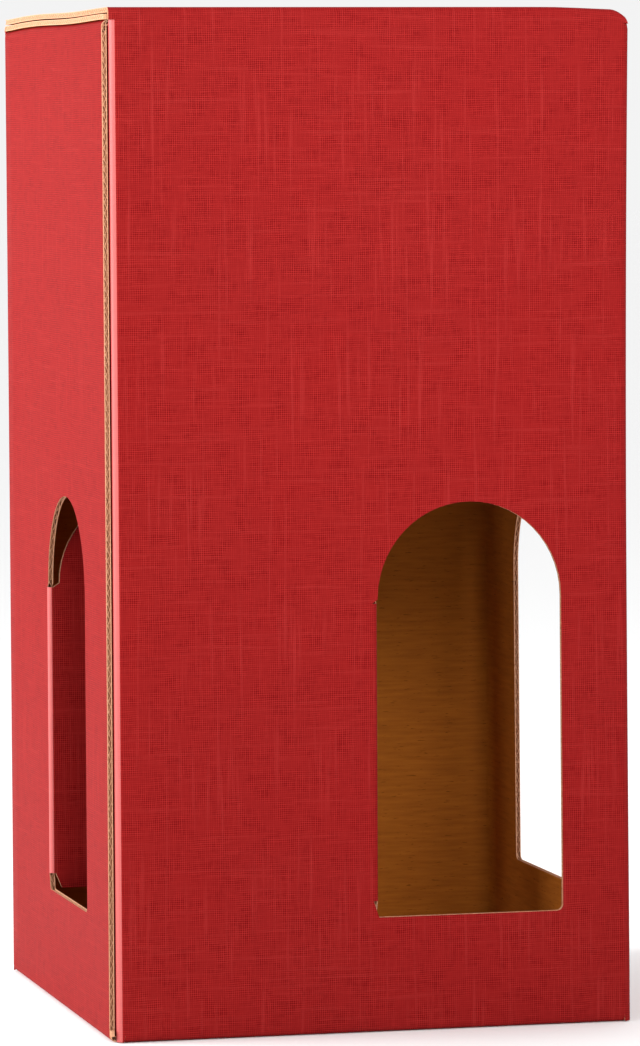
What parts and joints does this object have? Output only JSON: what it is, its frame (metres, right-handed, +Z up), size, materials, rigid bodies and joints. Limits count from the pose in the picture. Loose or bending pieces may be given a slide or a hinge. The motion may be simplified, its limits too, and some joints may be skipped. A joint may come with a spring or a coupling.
{
  "type": "bottle shipping box",
  "caption": "Tall carton of red printed corrugated board for carrying wine bottles, with an arched window in each wall whose cut flap folds inwards, and a hinged lid.",
  "frame": {"origin": "on the floor, at the centre of the box's base", "axes": "+Z up; -Y out of the front wall, the one with the window in its right half in the picture; +X to the right as seen from the front"},
  "size_m": [0.184, 0.18, 0.35],
  "materials": {
    "carton_board": "matte printed",
    "lid_board": "matte printed",
    "flap_board": "matte printed"
  },
  "bodies": {
    "box": {"carton": "carton_board"},
    "lid": {"lid": "lid_board"},
    "front_window_flap": {"front_window_flap": "flap_board"},
    "right_window_flap": {"right_window_flap": "flap_board"},
    "back_window_flap": {"back_window_flap": "flap_board"},
    "left_window_flap": {"left_window_flap": "flap_board"}
  },
  "joints": [
    {"name": "lid_hinge", "type": "hinge", "parent": "box", "child": "lid", "pos_m": [0, -0.0891, 0.3491], "axis": [1, 0, 0], "range_deg": [0, 210]},
    {"name": "front_window_hinge", "type": "hinge", "parent": "box", "child": "front_window_flap", "pos_m": [0, -0.08805, 0.11], "axis": [0, 0, 1], "range_deg": [-90, 85]},
    {"name": "right_window_hinge", "type": "hinge", "parent": "box", "child": "right_window_flap", "pos_m": [0.09005, -0.017, 0.11], "axis": [0, 0, 1], "range_deg": [-172, 5]},
    {"name": "back_window_hinge", "type": "hinge", "parent": "box", "child": "back_window_flap", "pos_m": [0, 0.08805, 0.11], "axis": [0, 0, 1], "range_deg": [-90, 85]},
    {"name": "left_window_hinge", "type": "hinge", "parent": "box", "child": "left_window_flap", "pos_m": [-0.09005, 0.017, 0.11], "axis": [0, 0, 1], "range_deg": [-90, 85]}
  ]
}
